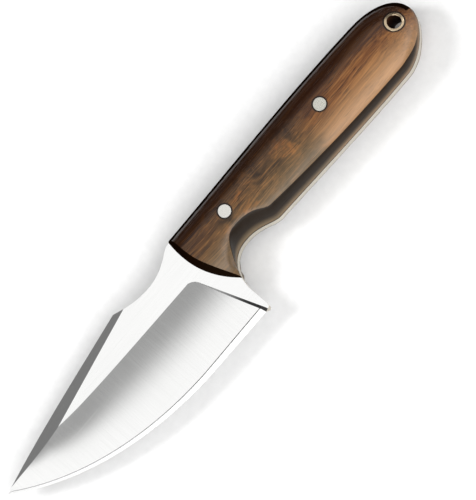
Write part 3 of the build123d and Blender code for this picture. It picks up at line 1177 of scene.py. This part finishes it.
def build_camera():
    """Looks down at the knife from a little towards its edge, tip at the lower left."""
    across = Vector((1, 0, 0))
    leaning = Vector((0, math.cos(CAMERA_TILT), math.sin(CAMERA_TILT)))
    back = Vector((0, -math.sin(CAMERA_TILT), math.cos(CAMERA_TILT)))
    right = across * math.cos(CAMERA_ROLL) - leaning * math.sin(CAMERA_ROLL)
    up = across * math.sin(CAMERA_ROLL) + leaning * math.cos(CAMERA_ROLL)
    target = station(0, 0, 0) + across * VIEW_CENTRE[0] + leaning * VIEW_CENTRE[1]
    data = bpy.data.cameras.new("camera")
    data.sensor_width = SENSOR
    data.lens = SENSOR * CAMERA_DISTANCE / VIEW_HEIGHT
    camera = bpy.data.objects.new("camera", data)
    turn = Matrix((right, up, back)).transposed().to_4x4()
    camera.matrix_world = Matrix.Translation(target + back * CAMERA_DISTANCE) @ turn
    bpy.context.scene.collection.objects.link(camera)
    bpy.context.scene.camera = camera


def build_floor():
    """A plain sheet of pale paper."""
    bm = bmesh.new()
    bmesh.ops.create_grid(bm, x_segments=1, y_segments=1, size=FLOOR_SIZE / 2)
    mesh = bpy.data.meshes.new("floor")
    bm.to_mesh(mesh)
    bm.free()
    floor = bpy.data.objects.new("floor", mesh)
    bpy.context.scene.collection.objects.link(floor)
    n = Nodes("floor_paper")
    grain = n.noise(n.stretched((0.4, 0.4, 0.4)), detail=4)
    tint = n.ramp(grain, [(0.3, 212), (0.7, 217)])
    mesh.materials.append(n.finish(Base_Color=tint, Roughness=0.9, Specular_IOR_Level=0.2))


# Softboxes seen by the polished steel: brightness by the angle from straight up, in degrees,
# counted positive towards +Y. They run on for ever along X.
SOFTBOXES = [
    (-90, 0.02), (-66, 0.04), (-56, 0.6), (-48, 3.4), (-20, 3.4), (-10, 1.1),
    (-6, 1.05), (-2, 0.36), (4, 0.34), (8, 1.0), (17, 1.05), (22, 0.4),
    (29, 0.1), (46, 0.05), (53, 0.28), (64, 0.3), (72, 0.06), (90, 0.02),
]
# Light leaning towards the tip shifts the softboxes by this share of its lean, which counts from
# SLANT_START up to SLANT_END
SOFTBOX_SLANT = -1.2
SLANT_START = math.radians(1)
SLANT_END = math.radians(8)


def sky_math(tree, operation, *inputs):
    node = tree.nodes.new("ShaderNodeMath")
    node.operation = operation
    for socket, value in zip(node.inputs, inputs):
        if hasattr(value, "links"):
            tree.links.new(value, socket)
        else:
            socket.default_value = value
    return node.outputs[0]


def build_world():
    """Softboxes all round, as a ramp over the angle from straight up."""
    world = bpy.data.worlds.new("studio")
    bpy.context.scene.world = world
    world.use_nodes = True
    tree = world.node_tree
    separate = tree.nodes.new("ShaderNodeSeparateXYZ")
    direction = tree.nodes.new("ShaderNodeTexCoord").outputs["Generated"]
    tree.links.new(direction, separate.inputs["Vector"])
    angle = sky_math(tree, "ARCTAN2", separate.outputs["Y"], separate.outputs["Z"])
    lean = sky_math(tree, "ARCTAN2", separate.outputs["X"], separate.outputs["Z"])
    lean = sky_math(tree, "ADD", sky_math(tree, "MAXIMUM", lean, -SLANT_END), SLANT_START)
    lean = sky_math(tree, "MINIMUM", lean, 0)
    angle = sky_math(tree, "MULTIPLY_ADD", lean, SOFTBOX_SLANT, angle)
    share = tree.nodes.new("ShaderNodeMapRange")
    share.inputs["From Min"].default_value = -math.pi / 2
    share.inputs["From Max"].default_value = math.pi / 2
    tree.links.new(angle, share.inputs["Value"])
    ramp = tree.nodes.new("ShaderNodeValToRGB")
    ramp.color_ramp.interpolation = "LINEAR"
    while len(ramp.color_ramp.elements) < len(SOFTBOXES):
        ramp.color_ramp.elements.new(0.5)
    for element, (degrees, light) in zip(ramp.color_ramp.elements, SOFTBOXES):
        element.position = (degrees + 90) / 180
        element.color = (light, light, light, 1)
    tree.links.new(share.outputs["Result"], ramp.inputs["Fac"])
    tree.links.new(ramp.outputs["Color"], tree.nodes["Background"].inputs["Color"])


def add_light(name, place, size, power):
    """A soft lamp that lights the floor and the wood but doesn't show in the steel."""
    data = bpy.data.lights.new(name, "AREA")
    data.shape = "DISK"
    data.size = size
    data.energy = power
    lamp = bpy.data.objects.new(name, data)
    lamp.location = place
    lamp.rotation_euler = (-Vector(place)).to_track_quat("-Z", "Y").to_euler()
    lamp.visible_glossy = False
    bpy.context.scene.collection.objects.link(lamp)


def build_lights():
    add_light("key", (-0.6, 0.6, 1.0), size=0.5, power=12.0)
    add_light("fill", (0.6, -0.8, 1.3), size=1.2, power=1.0)


build_camera()
build_world()
build_lights()
build_floor()
bpy.context.scene.view_settings.view_transform = "Standard"
build_blade(
    [
        steel("flat_steel", (0.06, 3.2, 3.2), 0.07, 0.0003),
        steel("hollow_steel", (2.2, 0.05, 0.4), 0.06, 0.00005),
        steel("honed_steel", (5.0, 0.3, 0.3), 0.4, 0.001),
        # Painted shade: the shoulder band darkens towards the heel, the plunge downwards towards
        # the edge.
        steel_with_painted_shade("shoulder_steel_painted_shade", (12, 88), (208, 112), 0.2),
        steel_with_painted_shade("plunge_steel_painted_shade", (-8, -19), (140, 34), 0.4, axis="Y"),
        # The rim's cream tint is a painted reflection, standing in for what the steel's edge
        # reflects.
        solid_metal("rim_steel_painted_reflection", (196, 188, 172), (226, 220, 206), 0.22),
    ]
)
# Every scale material has a painted reflection haze and painted shade in its colour.
build_scales(
    [
        wood("scale_wood", 0.45),
        wood("scale_side_wood_painted_light_and_shade", 0.25, side=True),
        wood("scale_edge_wood_painted_shade", 0.0, edge=True),
    ]
)
build_pins(
    solid_metal("front_pin_metal", (242, 240, 232), (253, 251, 246), 0.12),
    solid_metal("rear_pin_metal", (222, 221, 208), (240, 239, 230), 0.16),
)
build_tube(
    [
        solid_metal("tube_metal", (206, 184, 150), (240, 216, 184), 0.14),
        bore_painted_shade("tube_bore_painted_shade"),
    ]
)
build_epoxy(resin("epoxy"))
